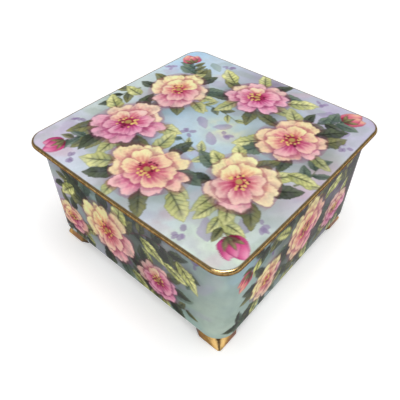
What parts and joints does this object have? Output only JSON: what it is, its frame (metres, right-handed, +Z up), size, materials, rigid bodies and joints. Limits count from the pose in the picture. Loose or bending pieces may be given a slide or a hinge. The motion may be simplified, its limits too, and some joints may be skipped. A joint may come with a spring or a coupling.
{
  "type": "keepsake box",
  "caption": "Square glazed porcelain keepsake box with rounded corners, a loose overhanging lid with a gilt edge and a locating flange, and low gilt bracket feet under the corners.",
  "frame": {"origin": "on the table plane under the middle of the box, at the soles of the feet", "axes": "+Z up, the way the lid lifts; the front wall faces -Y and the right wall faces +X"},
  "size_m": [0.127, 0.127, 0.069],
  "materials": {
    "painted_porcelain": "hand-painted overglaze wash on gloss glazed porcelain",
    "gilding": "bright fired gilding on porcelain"
  },
  "bodies": {
    "base": {"box_body": "painted_porcelain", "foot_front_left": "gilding", "foot_front_right": "gilding", "foot_back_left": "gilding", "foot_back_right": "gilding"},
    "lid_unit": {"lid": "painted_porcelain", "lid_gilt_band": "gilding"}
  },
  "joints": [
    {"name": "lid_lift", "type": "slide", "parent": "base", "child": "lid_unit", "axis": [0, 0, 1], "range_m": [0, 0.1]}
  ]
}
